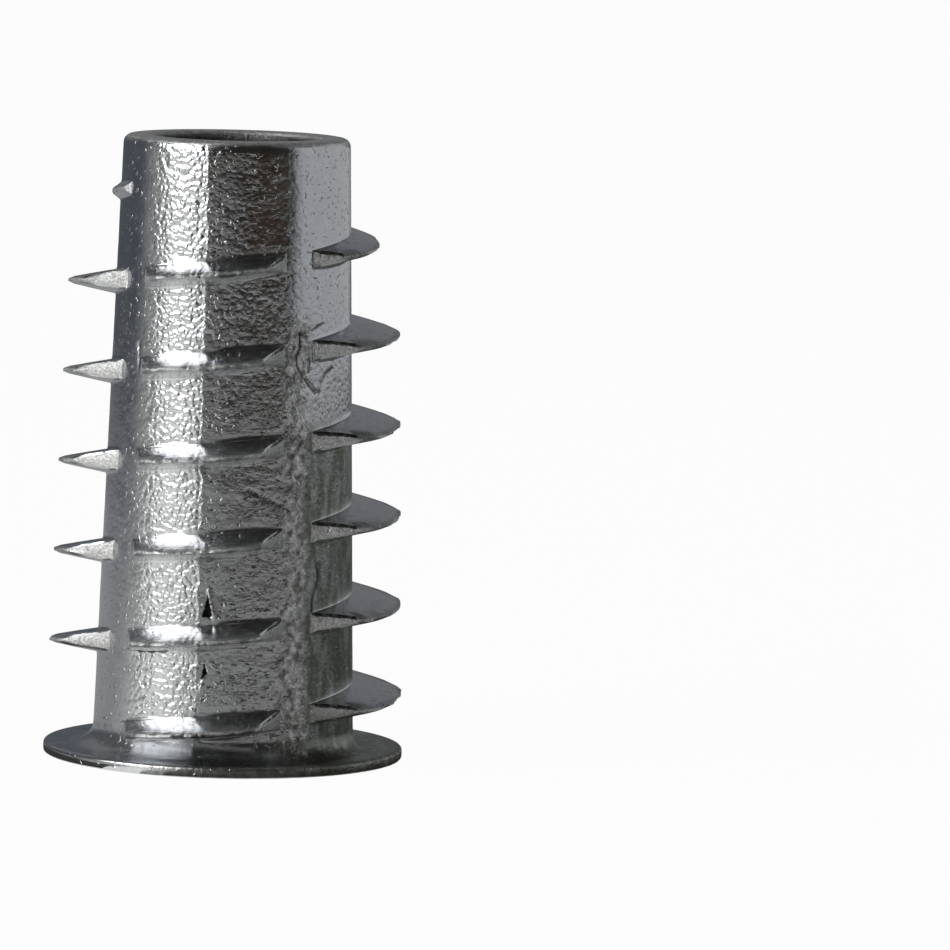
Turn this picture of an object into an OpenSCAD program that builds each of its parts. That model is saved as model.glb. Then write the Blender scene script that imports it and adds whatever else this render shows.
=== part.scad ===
// Flanged wood insert, cast in one piece.
// Outside, a coarse thread stops at the plain lanes where the die slides met, so each turn is
// a ring of separate blades. Inside, a hexagon socket opens at the flange and a bore with the
// minor diameter of its machine thread runs on to the tip.
// The insert stands on its flange, and the origin is the centre of the flange's outer face.

/* [Body] */
// Length from the flange's outer face to the tip
length = 25; // [20:0.5:40]
// Body diameter at the plane of the flange's outer face
body_base_d = 10.55; // [10.4:0.05:12]
// Body diameter at the tip
body_tip_d = 9.1; // [8.6:0.05:10.4]
// Radius of the outer edge at the tip
tip_round = 0.35; // [0.1:0.05:0.6]

/* [Flange] */
// Diameter of the flange
flange_d = 14.5; // [14.5:0.1:20]
// Thickness of the flange
flange_t = 0.45; // [0.3:0.05:2]
// Radius of the two edges of the flange's rim
rim_round = 0.12; // [0.02:0.01:0.14]
// Radius of the fillet between flange and body
flange_fillet = 0.8; // [0.1:0.05:1.2]

/* [Outside thread] */
// Rise of the thread in one turn
pitch = 3.63; // [3:0.01:6]
// Diameter over the crests, carried down to the flange's outer face
crest_base_d = 14.5; // [13:0.05:14.5]
// Diameter over the crests, carried up to the tip
crest_tip_d = 13; // [12:0.05:14]
// Thickness of a full blade at the body, at the blade's middle
blade_root_t = 0.92; // [0.6:0.02:1.2]
// Thickness of a full blade at the body, at the blade's two ends
blade_end_t = 0.82; // [0.5:0.02:1.2]
// Thickness of a blade at its crest
blade_crest_t = 0.12; // [0.06:0.02:0.4]
// Radius of the fillet along the foot of a blade, at the blade's middle
root_fillet = 0.1; // [0.05:0.01:0.3]
// Distance from the tip to the middle of the first blade
tip_run = 2.44; // [2:0.02:6]
// Height of the first blade over the body
first_blade_h = 0.4; // [0.2:0.05:1]
// Angle between the lead-in crests and the axis
lead_in_angle = 25; // [15:1:45]
// Least height of the last blade's middle over the flange
flange_run = 1.1; // [0.8:0.05:3]

/* [Die slides] */
// Number of slides, each of which leaves one blade in a turn
slides = 4; // [3:1:4]
// Direction in which the slide of the first blade was drawn
first_slide_angle = 168.5; // [0:0.5:360]
// Angle round the axis that a blade covers at the body
blade_span = 75; // [50:1:84]
// Draft angle of a blade's two end faces
end_draft = 13; // [2:1:20]

/* [Socket and bore] */
// Width across the flats of the hexagon socket
socket_w = 8.2; // [7:0.1:8.6]
// Depth of the socket at its corners
socket_depth = 7; // [4:0.5:12]
// Width of the broken edge round the socket's mouth
mouth_break = 0.15; // [0.05:0.05:0.2]
// Angle between the socket's conical floor and the axis
floor_angle = 45; // [30:1:75]
// Bore diameter, the minor diameter of the machine thread
bore_d = 6.7; // [5:0.05:7]

/* [Hidden] */

// How far a cut runs past the face that it opens
overrun = 0.2;
// How deep the foot of a blade lies under the body's surface
blade_sink = 0.15;
// Largest root fillet, as a share of the blade's height
fillet_share = 0.5;
// Root fillet at a blade's ends, as a share of that at its middle
end_fillet_share = 0.2;
// Height that a crest loses at its two corners, as a share of the blade's height, and the share
// along the blade from which it falls away
corner_drop_share = 0.2;
corner_start_share = 0.45;
// Thickness of a blade that hardly rises, as a share of a full blade's
low_blade_share = 0.6;
// A flank bulges: its distance from the blade's middle follows this power of the height left to
// the crest, and it has points at these shares of the height
flank_power = 0.68;
flank_shares = [1, 0.87, 0.5];
// Steps along a blade and along a quarter round
blade_steps = 10;
round_steps = 6;
// Colour of the bare cast metal
zinc = [0.66, 0.67, 0.69];

flange_r = flange_d / 2;
bore_r = bore_d / 2;
socket_corner_r = socket_w / 2 / cos(30);
blade_rise = pitch / slides;
first_blade_z = length - tip_run;
blade_count = floor((first_blade_z - flange_t - flange_run) / blade_rise) + 1;
lead_in_r = body_r(first_blade_z) + first_blade_h;

// Radius of the tapered body at height z
function body_r(z) = (body_base_d + (body_tip_d - body_base_d) * z / length) / 2;

// Radius over the crests of full blades at height z
function crest_cone_r(z) = (crest_base_d + (crest_tip_d - crest_base_d) * z / length) / 2;

// Radius over the crests at height z, drawn in towards the tip by the lead-in
function crest_r(z) = min(crest_cone_r(z), lead_in_r + (first_blade_z - z) * tan(lead_in_angle));

// Height on the socket's conical floor at radius r
function floor_z(r) = socket_depth + (socket_corner_r - r) / tan(floor_angle);

// Points of a round of radius r about a centre, from one angle to another
function round_points(centre, r, from, to) = [
    for (k = [0:round_steps])
        let (a = from + (to - from) * k / round_steps)
            centre + r * [cos(a), sin(a)]
];

// Half section of the casting without its blades: flange, fillet, taper and rounded tip
function section_points() = concat(
    [[0, 0]],
    round_points([flange_r - rim_round, rim_round], rim_round, -90, 0),
    round_points([flange_r - rim_round, flange_t - rim_round], rim_round, 0, 90),
    round_points(
        [body_r(flange_t + flange_fillet) + flange_fillet, flange_t + flange_fillet],
        flange_fillet, -90, -180
    ),
    round_points([body_r(length - tip_round) - tip_round, length - tip_round], tip_round, 0, 90),
    [[0, length]]
);

// Height of a blade over the body at height z. The share along the blade is -1 and 1 at its ends,
// and its crest is drawn in towards them.
function blade_h(z, share) =
    let (
        corner = max(0, abs(share) - corner_start_share) / (1 - corner_start_share)
    )
    (crest_r(z) - body_r(z)) * (1 - corner_drop_share * corner * corner);

// Half the thickness of a blade at its root, which is less at its ends and on a low blade
function root_half(z, share) =
    let (
        full = (crest_r(z) - body_r(z)) / (crest_cone_r(z) - body_r(z)),
        lean = low_blade_share + (1 - low_blade_share) * full
    )
    lean * (blade_root_t + (blade_end_t - blade_root_t) * share * share) / 2;

// One side of a blade of height h, from its crest down to its sunk foot, as pairs of the
// height over the body and the distance from the blade's middle: crest, bulging flank, then a
// small fillet that runs out straight under the body's surface
function blade_side(h, root, fillet) =
    let (
        crest = blade_crest_t / 2,
        f = min(fillet, h * fillet_share),
        half_round = f * (1 - cos(45)),
        run_out = (f - half_round) / half_round
    )
    concat(
        [for (s = flank_shares) [h * s, crest + (root - crest) * pow(1 - s, flank_power)]],
        [
            [half_round, root + half_round],
            [-blade_sink, root + f + blade_sink * run_out]
        ]
    );

// Closed outline of a blade about height z, from its foot on the flange side, out to the crest
// and back to its foot on the tip side
function blade_outline(z, share) =
    let (
        fade = 1 - (1 - end_fillet_share) * share * share,
        side = blade_side(blade_h(z, share), root_half(z, share), root_fillet * fade)
    )
    concat([for (k = [len(side) - 1:-1:0]) [side[k][0], -side[k][1]]], side);

// Point of the blade about angle mid and height z: share runs from -1 to 1 along the blade, and
// the angle at radius r is where the drafted plane of the blade's end lies at that radius
function blade_point(mid, z, share, r, off) =
    let (
        end_plane = body_r(z) * sin(blade_span / 2 + end_draft),
        turn = share * (asin(end_plane / r) - end_draft)
    )
    [r * cos(mid + turn), r * sin(mid + turn), z + pitch * turn / 360 + off];

// One blade: its outline carried along the helix, with a flat drafted face at either end
module blade(mid, z) {
    stations = [
        for (j = [0:blade_steps])
            let (
                share = 2 * j / blade_steps - 1,
                rise = pitch * share * blade_span / 2 / 360
            )
            [
                for (p = blade_outline(z + rise, share))
                    blade_point(mid, z, share, body_r(z + rise + p[1]) + p[0], p[1])
            ]
    ];
    m = len(stations[0]);
    last = blade_steps * m;
    sides = [
        for (j = [0:blade_steps - 1], i = [0:m - 1])
            let (
                a = j * m + i,
                b = j * m + (i + 1) % m
            )
            each [[a, b, b + m], [a, b + m, a + m]]
    ];
    ends = [
        for (k = [0:m / 2 - 2])
            let (opposite = m - 1 - k)
            each [
                [k, opposite, opposite - 1],
                [k, opposite - 1, k + 1],
                [last + k, last + opposite - 1, last + opposite],
                [last + k, last + k + 1, last + opposite - 1]
            ]
    ];
    polyhedron([for (s = stations) each s], concat(sides, ends));
}

// The outside thread: blades that step down the helix from the tip, one slide after another
module outside_thread() {
    for (k = [0:blade_count - 1])
        blade(first_slide_angle - k * 360 / slides, first_blade_z - k * blade_rise);
}

// Tapered body with its flange, as one turned form
module turned_body() {
    rotate_extrude($fn = 128)
        polygon(section_points());
}

// Hexagon socket with a broken edge at its mouth and a conical floor
module socket() {
    mouth_r = (socket_w / 2 + mouth_break) / cos(30);
    outer_r = socket_corner_r + overrun;
    inner_r = bore_r - overrun;
    intersection() {
        translate([0, 0, -overrun])
            cylinder(r = socket_corner_r, h = floor_z(0) + overrun, $fn = 6);
        rotate_extrude($fn = 96)
            polygon([
                [0, -overrun],
                [outer_r, -overrun],
                [outer_r, floor_z(outer_r)],
                [inner_r, floor_z(inner_r)],
                [0, floor_z(inner_r)]
            ]);
    }
    cylinder(r1 = mouth_r, r2 = socket_corner_r, h = mouth_break, $fn = 6);
}

// Bore from the socket's floor through the tip
module bore() {
    translate([0, 0, socket_depth])
        cylinder(r = bore_r, h = length - socket_depth + overrun, $fn = 96);
}

module insert() {
    color(zinc)
        difference() {
            union() {
                turned_body();
                outside_thread();
            }
            socket();
            bore();
        }
}

insert();
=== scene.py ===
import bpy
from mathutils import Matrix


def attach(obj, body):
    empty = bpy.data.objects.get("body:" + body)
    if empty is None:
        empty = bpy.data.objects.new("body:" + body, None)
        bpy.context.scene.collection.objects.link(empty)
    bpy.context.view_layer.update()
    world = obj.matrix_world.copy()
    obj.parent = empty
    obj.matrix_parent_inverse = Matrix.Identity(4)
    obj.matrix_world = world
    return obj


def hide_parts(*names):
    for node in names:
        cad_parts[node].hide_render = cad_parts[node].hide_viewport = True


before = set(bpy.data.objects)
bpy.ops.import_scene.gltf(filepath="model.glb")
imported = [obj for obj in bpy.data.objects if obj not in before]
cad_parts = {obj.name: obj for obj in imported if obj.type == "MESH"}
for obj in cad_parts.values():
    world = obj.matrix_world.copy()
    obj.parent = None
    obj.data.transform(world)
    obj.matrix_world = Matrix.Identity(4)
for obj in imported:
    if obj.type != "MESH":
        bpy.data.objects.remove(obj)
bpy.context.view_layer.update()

from types import SimpleNamespace

import bmesh
import bpy
import numpy as np
from mathutils import Matrix, Vector

# The insert is one casting, so it is one surface: a closed profile carried once round the axis.
# Lengths are in millimetres until the mesh is written, and angles are in degrees. phi is the angle
# round the axis from +X, and theta = phi + 90 is the angle from the front (-Y) towards +X.
MM = 0.001

# The casting's sizes, as in the part's source. Only the flange is a hair narrower, so that its
# rim stays inside the box of the solid.
LENGTH = 25.0
BODY_BASE_R, BODY_TIP_R = 5.275, 4.55
CREST_BASE_R, CREST_TIP_R = 7.25, 6.5
TIP_ROUND = 0.35
FLANGE_R, FLANGE_T, RIM_ROUND, FLANGE_FILLET = 7.243, 0.45, 0.12, 0.8
PITCH, BLADE_COUNT, SLIDES = 3.63, 24, 4
FIRST_BLADE_Z, FIRST_BLADE_H, LEAD_IN = 22.56, 0.4, 25.0
CREST_HALF, ROOT_HALF, END_ROOT_HALF, LOW_BLADE_SHARE = 0.06, 0.46, 0.41, 0.6
FLANK_POWER, CORNER_DROP, CORNER_FROM = 0.68, 0.2, 0.45
ROOT_FILLET, END_FILLET_LOSS, FILLET_SHARE = 0.1, 0.8, 0.5
SLIDE_ANGLE, HALF_SPAN, END_DRAFT = -11.5, 37.5, 13.0
SOCKET_W, SOCKET_DEPTH, MOUTH_BREAK = 8.2, 7.0, 0.15
BORE_R, BORE_ROUND = 3.35, 0.15

# The machine thread in the bore, for an 8 mm screw: its corners as shares of the pitch, and how
# far from the bore's two ends it runs out
SCREW_PITCH, SCREW_DEPTH = 1.25, 0.6
SCREW_CORNER_SHARES = np.array([0.0, 0.25, 0.5625, 0.6875])
SCREW_POINTS = len(SCREW_CORNER_SHARES)
TIP_RUN_OUT, SOCKET_RUN_OUT = (0.1, 1.1), (0.1, 1.3)

# Points of a blade's section: shares of its height or of its fillet, the bevel along a cut end,
# and the least distances between points
SHOULDER_SHARE, MIDDLE_SHARE, ROUND_SHARE = 0.87, 0.5, 0.3
END_BEVEL, BEVEL_SHARE, CUT_BLEND = 0.09, 0.4, 0.1
FOOT_ROOM, LEAST_STEP = 0.02, 0.012
# Least height of what counts as a blade, and as a blade with a crest
LEAST_BLADE, LEAST_CREST = 0.03, 0.15
# Angle from a slide's middle at which the plain lane starts, the lane's middle, and the angles
# between which the rows of the blades give way to even ones
LANE_START, LANE_MIDDLE = 39.0, 45.0
LANE_BLEND = (38.5, 43.0)

BLADE_RISE = PITCH / SLIDES
HALF_BAND = BLADE_RISE / 2
SOCKET_CORNER_R = SOCKET_W / 2 / np.cos(np.radians(30))
BORE_FOOT_Z = SOCKET_DEPTH + SOCKET_CORNER_R - BORE_R

# Noise of the cast skin: cells round the axis, height of a cell and seed
LATTICE_ROWS = 512
LUMPS, GRAIN, FINE = (40, 0.8, 11), (110, 0.3, 12), (330, 0.1, 13)
SEAM_NOISE = (1, 0.4, 14)
# How far the lumps push the limits of a mark aside, in degrees and in millimetres
LIMIT_WANDER, LIMIT_WANDER_Z = 3.0, 0.5

# Relief of the cast skin: heights and depths, how far they reach, the distances over which their
# edges blend, and the mean radius at which the wall is rolled out for them
SEAM_RIDGE, SEAM_REACH, SEAM_WANDER = 0.05, 0.55, 0.06
PIT_DEPTH, PIT_EDGE, PIT_WALL_R = 0.22, (-0.02, 0.06), 5.1
CRACK_DEPTH, CRACK_EDGE, CRACK_WALL_R, CRACK_WANDER = 0.05, (0.085, 0.02), 5.0, 0.015
# Painted shade inside the cracks: its strength, and the distances over which it fades
CRACK_SHADE, CRACK_SHADE_EDGE = 0.85, (0.07, 0.02)
LIP_HEIGHT, LIP_REACH = 0.035, 0.07
WALL_LUMPS, WALL_GRAIN = 0.008, 0.005
LANE_FINE, LANE_GRAIN = 0.018, 0.016
CREST_WEAR, CUT_WEAR, MOST_WEAR = 0.09, 0.03, 1.2
# Share of the wall's relief that is missing at the right, at the left and, further, at the back
RIGHT_LOSS, LEFT_LOSS, BACK_LOSS = 0.8, 0.5, 0.3

# Where marks begin and are full, as angles theta
FRONT_LANE_LEFT, FRONT_LANE_RIGHT = (23.0, 28.0), (42.0, 35.0)
CALM_RIGHT, CALM_LEFT, CALM_BACK = (30.0, 42.0), (-40.0, -50.0), (-110.0, -150.0)
HAMMER_LEFT, WRINKLE_RIGHT, CRINKLE_THIN = (-50.0, -38.0), (34.0, 24.0), (2.0, 14.0)
RIM_MOTTLE_LEFT, SPECKLE_LEFT, BACK_FADE = (-30.0, -20.0), (30.0, 40.0), (170.0, 120.0)
# Next line: painted shade on the lower right wall and the flange's right, away from the key light
PAINTED_SHADE_LEFT, FLANGE_SHADE_LEFT, PAINTED_SHADE_BACK = (34.0, 42.0), (15.0, 40.0), (150.0, 110.0)
# Next line: painted shade along the upper edges of the blades' cut ends on the right
EDGE_SHADE_LEFT, EDGE_SHADE_RIGHT = (0.0, 20.0), (100.0, 80.0)
# The same over the height, in millimetres, and across the seam
# The last mark on the next line is the top of the painted shade on the lower right wall
FRONT_LANE_TOP, CRINKLE_FOOT, PAINTED_SHADE_TOP = (18.8, 16.5), (19.0, 21.5), (14.2, 13.2)
SKIN_FOOT, SATIN_TOP, RIGHT_HAMMER_FOOT = (1.1, 1.5), (17.0, 9.0), (12.0, 20.0)
# Height under which the painted shade lies on the flange instead of the wall
FLANGE_SHADE_Z = 1.2
LEFT_OF_SEAM, RIGHT_OF_SEAM = (0.05, -0.05), (-0.05, 0.05)
# The same under the tip's face
TIP_MOTTLE, TIP_HAMMER = (0.2, 0.02), (0.1, 0.25)
# The second mark on the next line sets where painted shade darkens the bore
BORE_MOTTLE, BORE_SHADE_DEPTHS = (1.2, 0.5), (0.04, 0.25)
# Rows over a blade in which the skin is smoother
ROWS_OVER_BLADE = 5
# Strength of the marks where they are full
HAMMER_LEAST, HAMMER_MORE, RIGHT_HAMMER_LEAST, RIGHT_HAMMER_MORE = 0.15, 0.85, 0.08, 0.4
# The third and fourth strengths on the next line are of painted shade, on the flange and in the
# bore
CRINKLE_LOSS, FLANK_SATIN, FLANGE_SHADE, BORE_SHADE = 0.8, 0.8, 1.3, 0.9
# The last value on the next line is the painted shade's strength in the two rows over a cut end's
# crest
SPECKLE_LEAST, SPECKLE_MORE, TORN_SHARE, EDGE_SHADE_ROWS = 0.25, 0.75, 0.8, (1.0, 0.85)
RIM_MOTTLE_LEAST, RIM_MOTTLE_MORE, UNDER_MOTTLE, FLANGE_MOTTLE = 0.1, 0.65, 0.75, 0.12

# Distances within which points are merged and faces count as empty, in metres, and the angle from
# which an edge is sharp
MERGE_DISTANCE, EMPTY_DISTANCE, SHARP_ANGLE = 2e-7, 1e-7, 38.0


def smoothstep(low, high, x):
    """Cubic ramp from 0 at low to 1 at high."""
    t = np.clip((x - low) / (high - low), 0.0, 1.0)
    return t * t * (3.0 - 2.0 * t)


def below_tip(start, full, z):
    """Cubic ramp from 0 to 1 between two depths under the tip's face."""
    return smoothstep(LENGTH - start, LENGTH - full, z)


def body_radius(z):
    """Radius of the tapered body: a straight line from the flange's face to the tip."""
    return BODY_BASE_R + (BODY_TIP_R - BODY_BASE_R) * z / LENGTH


def crest_cone(z):
    """Radius over full crests: a straight line from the flange's face to the tip."""
    return CREST_BASE_R + (CREST_TIP_R - CREST_BASE_R) * z / LENGTH


def crest_radius(z):
    """Radius over the crests: the lesser of the crest cone and the steeper lead-in cone."""
    lead_in = body_radius(FIRST_BLADE_Z) + FIRST_BLADE_H
    return np.minimum(crest_cone(z), lead_in + (FIRST_BLADE_Z - z) * np.tan(np.radians(LEAD_IN)))


def socket_radius(phi, half_width):
    """Distance from the axis to a hexagon with corners on the X axis: half width over the cosine
    of the angle from the nearest flat's middle."""
    return half_width / np.cos(np.radians((phi % 60.0) - 30.0))


def lattice_noise(across, along, cells, seed):
    """Smooth noise from -1 to 1: random values on a square lattice, blended by smooth ramps. It
    closes on itself in the across direction after the given number of cells."""
    values = np.random.default_rng(seed).uniform(-1.0, 1.0, (cells, LATTICE_ROWS))
    i, j = np.floor(across).astype(int), np.floor(along).astype(int)
    s, t = smoothstep(0, 1, across - i), smoothstep(0, 1, along - j)
    i0, i1, j0, j1 = i % cells, (i + 1) % cells, j % LATTICE_ROWS, (j + 1) % LATTICE_ROWS
    low = values[i0, j0] * (1 - s) + values[i1, j0] * s
    high = values[i0, j1] * (1 - s) + values[i1, j1] * s
    return low * (1 - t) + high * t


def skin_noise(turn, z, cells, cell_height, seed):
    """Lattice noise on the wall, where turn runs from 0 to 1 round the axis."""
    return lattice_noise(turn * cells, z / cell_height, cells, seed)


def column_angles():
    """Angles of the grid's columns: even steps, closer at the front, with columns on the corners
    of the hexagon and on the edges of the blades' ends, and more along the seam, the front lane
    and the crack at the left. An even column that lies too close to one of those is left out."""
    ends = np.array([19.6, 20.6, 22.0, 29.0, 37.1, 37.5, 37.9])
    slides = SLIDE_ANGLE + 90.0 * np.arange(-2, 2)
    edges = (slides[:, None] + np.concatenate([-ends, ends])[None, :]).ravel()
    corners = (60.0 * np.arange(6)[:, None] + np.array([-0.7, 0.0, 0.7])[None, :]).ravel()
    seam = np.arange(-17.0, -4.9, 0.5) - 90.0
    lane = np.concatenate([np.arange(27.0, 31.0, 1.0), np.arange(31.0, 46.5, 0.6)]) - 90.0
    left_crack = np.array([-51.9, -51.3, -50.9, -50.5, -50.1, -49.5]) - 90.0
    special = np.concatenate([edges, corners, seam, lane, left_crack])
    special = np.unique(np.round((special + 180.0) % 360.0 - 180.0, 2))
    front_step, other_step, least_step = 1.5, 3.0, 0.3
    front = np.arange(-150.0, -29.9, front_step)
    rest = np.concatenate([np.arange(-180.0, -150.0, other_step),
                           np.arange(-27.0, 180.0, other_step)])
    even = np.concatenate([front, rest])
    gap = np.abs((even[:, None] - special[None, :] + 180.0) % 360.0 - 180.0).min(axis=1)
    keep = gap > np.where((even >= -151.0) & (even <= -29.0), 0.7, 1.1)
    apart = np.concatenate([[True], np.diff(special) > least_step])
    return np.sort(np.concatenate([even[keep], special[apart]]))


# For each column: its angles, the slide that it lies in and the angle from that slide's middle
PHI = column_angles()
THETA = (PHI + 90.0 + 180.0) % 360.0 - 180.0
QUADRANT = np.round((PHI - SLIDE_ANGLE) / 90.0)
FROM_SLIDE = PHI - SLIDE_ANGLE - 90.0 * QUADRANT
PHASE = (2.0 - QUADRANT) % 4.0
# Rise of the helix across a slide, let down again in the plain lane to its next turn
TILT = np.where(
    np.abs(FROM_SLIDE) <= LANE_START,
    PITCH * FROM_SLIDE / 360.0,
    np.sign(FROM_SLIDE) * PITCH * LANE_START / 360.0
    * (LANE_MIDDLE - np.abs(FROM_SLIDE)) / (LANE_MIDDLE - LANE_START),
)
LOW_EDGE = FIRST_BLADE_Z - BLADE_RISE * (BLADE_COUNT - 1) - HALF_BAND + TILT
TOP_EDGE = FIRST_BLADE_Z + BLADE_RISE + HALF_BAND + TILT
# Rows of one blade's section, the row of its crest, and how many such blocks the thread has
BLOCK, CREST_ROW, BLOCKS = 11, 5, BLADE_COUNT + 1


def blade_section(number):
    """Section of the blade with that number at each column, as eleven heights and heights over
    the body, from the flange side to the tip side. A flank is a power of the share of height left
    to the crest, so that it bulges. Crest corners are drawn in by a square, and the ends are cut
    by drafted planes, on which the radius is a constant over the sine of the angle."""
    middle = FIRST_BLADE_Z - BLADE_RISE * number
    body = body_radius(middle + TILT)
    height = crest_radius(middle + TILT) - body
    full_height = crest_cone(middle + TILT) - body
    thickness = LOW_BLADE_SHARE + (1.0 - LOW_BLADE_SHARE) * height / full_height
    turn = np.abs(FROM_SLIDE)
    end_plane = body_radius(middle) * np.sin(np.radians(HALF_SPAN + END_DRAFT))
    end = end_plane / np.sin(np.radians(turn + END_DRAFT)) - body
    end = np.where(turn >= HALF_SPAN, 0.0, np.clip(end, 0.0, None))

    def share_at(y):
        """Share of the way from the blade's middle to its end plane at a height over the body."""
        widest = np.degrees(np.arcsin(np.clip(end_plane / (body + y), 0.0, 1.0))) - END_DRAFT
        return np.clip(turn / widest, 0.0, 1.0)

    def crest_at(share):
        """Height of the crest: full up to its corners, then less by a square."""
        corner = np.clip((share - CORNER_FROM) / (1.0 - CORNER_FROM), 0.0, 1.0)
        return height * (1.0 - CORNER_DROP * corner ** 2)

    def half_at(y):
        """Half the blade's thickness: the crest's, and a power of the height left to the crest."""
        share = share_at(y)
        root = thickness * (ROOT_HALF + (END_ROOT_HALF - ROOT_HALF) * share ** 2)
        left = np.clip(1.0 - y / crest_at(share), 0.0, 1.0)
        return CREST_HALF + (root - CREST_HALF) * left ** FLANK_POWER

    top = np.minimum(height, end)
    for _ in range(5):
        top = np.minimum(crest_at(share_at(top)), end)
    fillet = ROOT_FILLET * (1.0 - END_FILLET_LOSS * np.clip(turn / HALF_SPAN, 0, 1) ** 2)
    fillet = np.minimum(fillet, FILLET_SHARE * top)
    foot = half_at(np.zeros_like(top))
    cut = np.clip((crest_at(share_at(top)) - end) / CUT_BLEND, 0.0, 1.0)
    bevel = cut * np.minimum(END_BEVEL, BEVEL_SHARE * top)
    shoulder = SHOULDER_SHARE * top * (1.0 - cut) + (top - bevel) * cut
    y = [0.0 * top, np.minimum(ROUND_SHARE * fillet, top), MIDDLE_SHARE * top, shoulder, top]
    d = [foot + fillet + FOOT_ROOM, foot + ROUND_SHARE * fillet,
         half_at(y[2]), half_at(shoulder), half_at(top) - bevel]
    for k in range(1, CREST_ROW):
        d[k] = np.minimum(d[k], d[k - 1] - LEAST_STEP)
    offsets = np.stack([-v for v in d] + [0.0 * top] + d[::-1])
    heights = np.stack(y + [top] + y[::-1])
    return middle + TILT + offsets, heights, top, cut


def even_rows(below, above, count, skip):
    """Heights of rows in even steps from one edge up to another, which is not reached. Where skip
    is 1 the lower edge is left out too."""
    s = (np.arange(count) + skip) / max(count + skip, 1.0)
    return below[None, :] + s[:, None] * (above - below)[None, :]


def thread_rows():
    """Rows of the threaded wall: height, height over the body, and marks for flank, crest, cut end
    and the cut end's upper edge. Each column has the sections of its own slide's blades, with even
    rows between them, and in the plain lanes all rows are even."""
    rows = BLOCKS * BLOCK
    z, rise, flank, crest, cut, edge = (np.zeros((rows, len(PHI))) for _ in range(6))
    for phase in range(SLIDES):
        mine = PHASE == phase
        below, first = LOW_EDGE, 0
        for number in reversed(range(phase, BLADE_COUNT, SLIDES)):
            height, over, top, ends = blade_section(number)
            block = (BLADE_COUNT - 1 - number) * BLOCK
            ridge = block + CREST_ROW
            skip = 0.0 if first == 0 else 1.0
            z[first:block, mine] = even_rows(below, height[0], block - first, skip)[:, mine]
            z[block:block + BLOCK, mine] = height[:, mine]
            rise[block:block + BLOCK, mine] = over[:, mine]
            raised = 1.0 * (top > LEAST_BLADE)
            flank[block + 1:block + BLOCK - 1, mine] = raised[mine]
            flank[block + 1:ridge, mine] *= -1.0
            crest[ridge - 1:ridge + 2, mine] = ((1.0 - ends) * (top > LEAST_CREST))[mine]
            cut[ridge - 1:ridge + 2, mine] = (ends * raised)[mine]
            # The two rows above a cut end's crest take the painted shade of its upper edge
            edge[ridge + 1:ridge + 3, mine] = np.outer(EDGE_SHADE_ROWS, (ends * raised)[mine])
            below, first = height[-1], block + BLOCK
        z[first:, mine] = even_rows(below, TOP_EDGE, rows - first, 1.0)[:, mine]
    even = LOW_EDGE[None, :] + BLADE_RISE / BLOCK * np.arange(rows)[:, None]
    share = smoothstep(*LANE_BLEND, np.abs(FROM_SLIDE))[None, :]
    marks = {"flank": flank, "crest": crest, "cut": cut, "edge": edge}
    return z + (even - z) * share, rise, marks


def base_radius(z):
    """Radius of the turned form under the thread: the tapered body, and below it the round of the
    flange's fillet."""
    centre_z = FLANGE_T + FLANGE_FILLET
    drop = np.clip(centre_z - z, 0.0, FLANGE_FILLET)
    fillet = body_radius(centre_z) + FLANGE_FILLET - np.sqrt(FLANGE_FILLET ** 2 - drop ** 2)
    return np.where(z >= centre_z, body_radius(z), fillet)


def arc_rows(centre_r, centre_z, radius, start, stop, count):
    """Points of a round about a centre in the half plane, as rows of radius and height."""
    a = np.radians(np.linspace(start, stop, count))[:, None] + np.zeros(len(PHI))[None, :]
    return centre_r + radius * np.cos(a), centre_z + radius * np.sin(a)


def straight_rows(r0, z0, r1, z1, shares):
    """Points on straight lines from (r0, z0) to (r1, z1), which may differ from column to
    column, as rows of radius and height."""
    s = np.asarray(shares)[:, None]
    one = np.ones(len(PHI))[None, :]
    return (r0 * one) * (1 - s) + (r1 * one) * s, (z0 * one) * (1 - s) + (z1 * one) * s


def flange_fillet_rows(count, edge):
    """Rows from the flange's top face up its fillet and the body to the thread's lowest row, even
    along their length in each column."""
    centre_z = FLANGE_T + FLANGE_FILLET
    centre_r = body_radius(centre_z) + FLANGE_FILLET
    wall = np.clip(edge - centre_z, 0.0, None)
    stop = np.arcsin(np.clip((centre_z - edge) / FLANGE_FILLET, 0.0, 1.0))
    arc = FLANGE_FILLET * (np.pi / 2 - stop)
    s = np.linspace(0.0, 1.0, count, endpoint=False)[:, None] * (wall + arc)[None, :]
    angle = np.pi / 2 - np.minimum(s, arc[None, :]) / FLANGE_FILLET
    z = centre_z - FLANGE_FILLET * np.sin(angle) + np.clip(s - arc[None, :], 0.0, None)
    r = np.where(s <= arc[None, :], centre_r - FLANGE_FILLET * np.cos(angle), body_radius(z))
    return r, z


def bore_rows():
    """Rows down the bore's machine thread. They follow its helix, so that a row joins the row one
    turn lower where the columns close, and they stop at the bore's two ends, where the thread
    runs out to the bore's own radius."""
    high, low = LENGTH - BORE_ROUND, BORE_FOOT_Z
    turns = int(np.ceil((high - low) / SCREW_PITCH)) + 2
    k = np.arange(turns * SCREW_POINTS)
    drop = SCREW_PITCH * (k // SCREW_POINTS + SCREW_CORNER_SHARES[k % SCREW_POINTS])
    lift = SCREW_PITCH * (PHI + 180.0) / 360.0
    z = np.clip(high - drop[:, None] + lift[None, :], low, high)
    groove = np.where(k % SCREW_POINTS >= 2, 1.0, 0.0)[:, None]
    run_out = smoothstep(*TIP_RUN_OUT, high - z) * smoothstep(*SOCKET_RUN_OUT, z - low)
    return BORE_R + SCREW_DEPTH * groove * run_out, z


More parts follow.
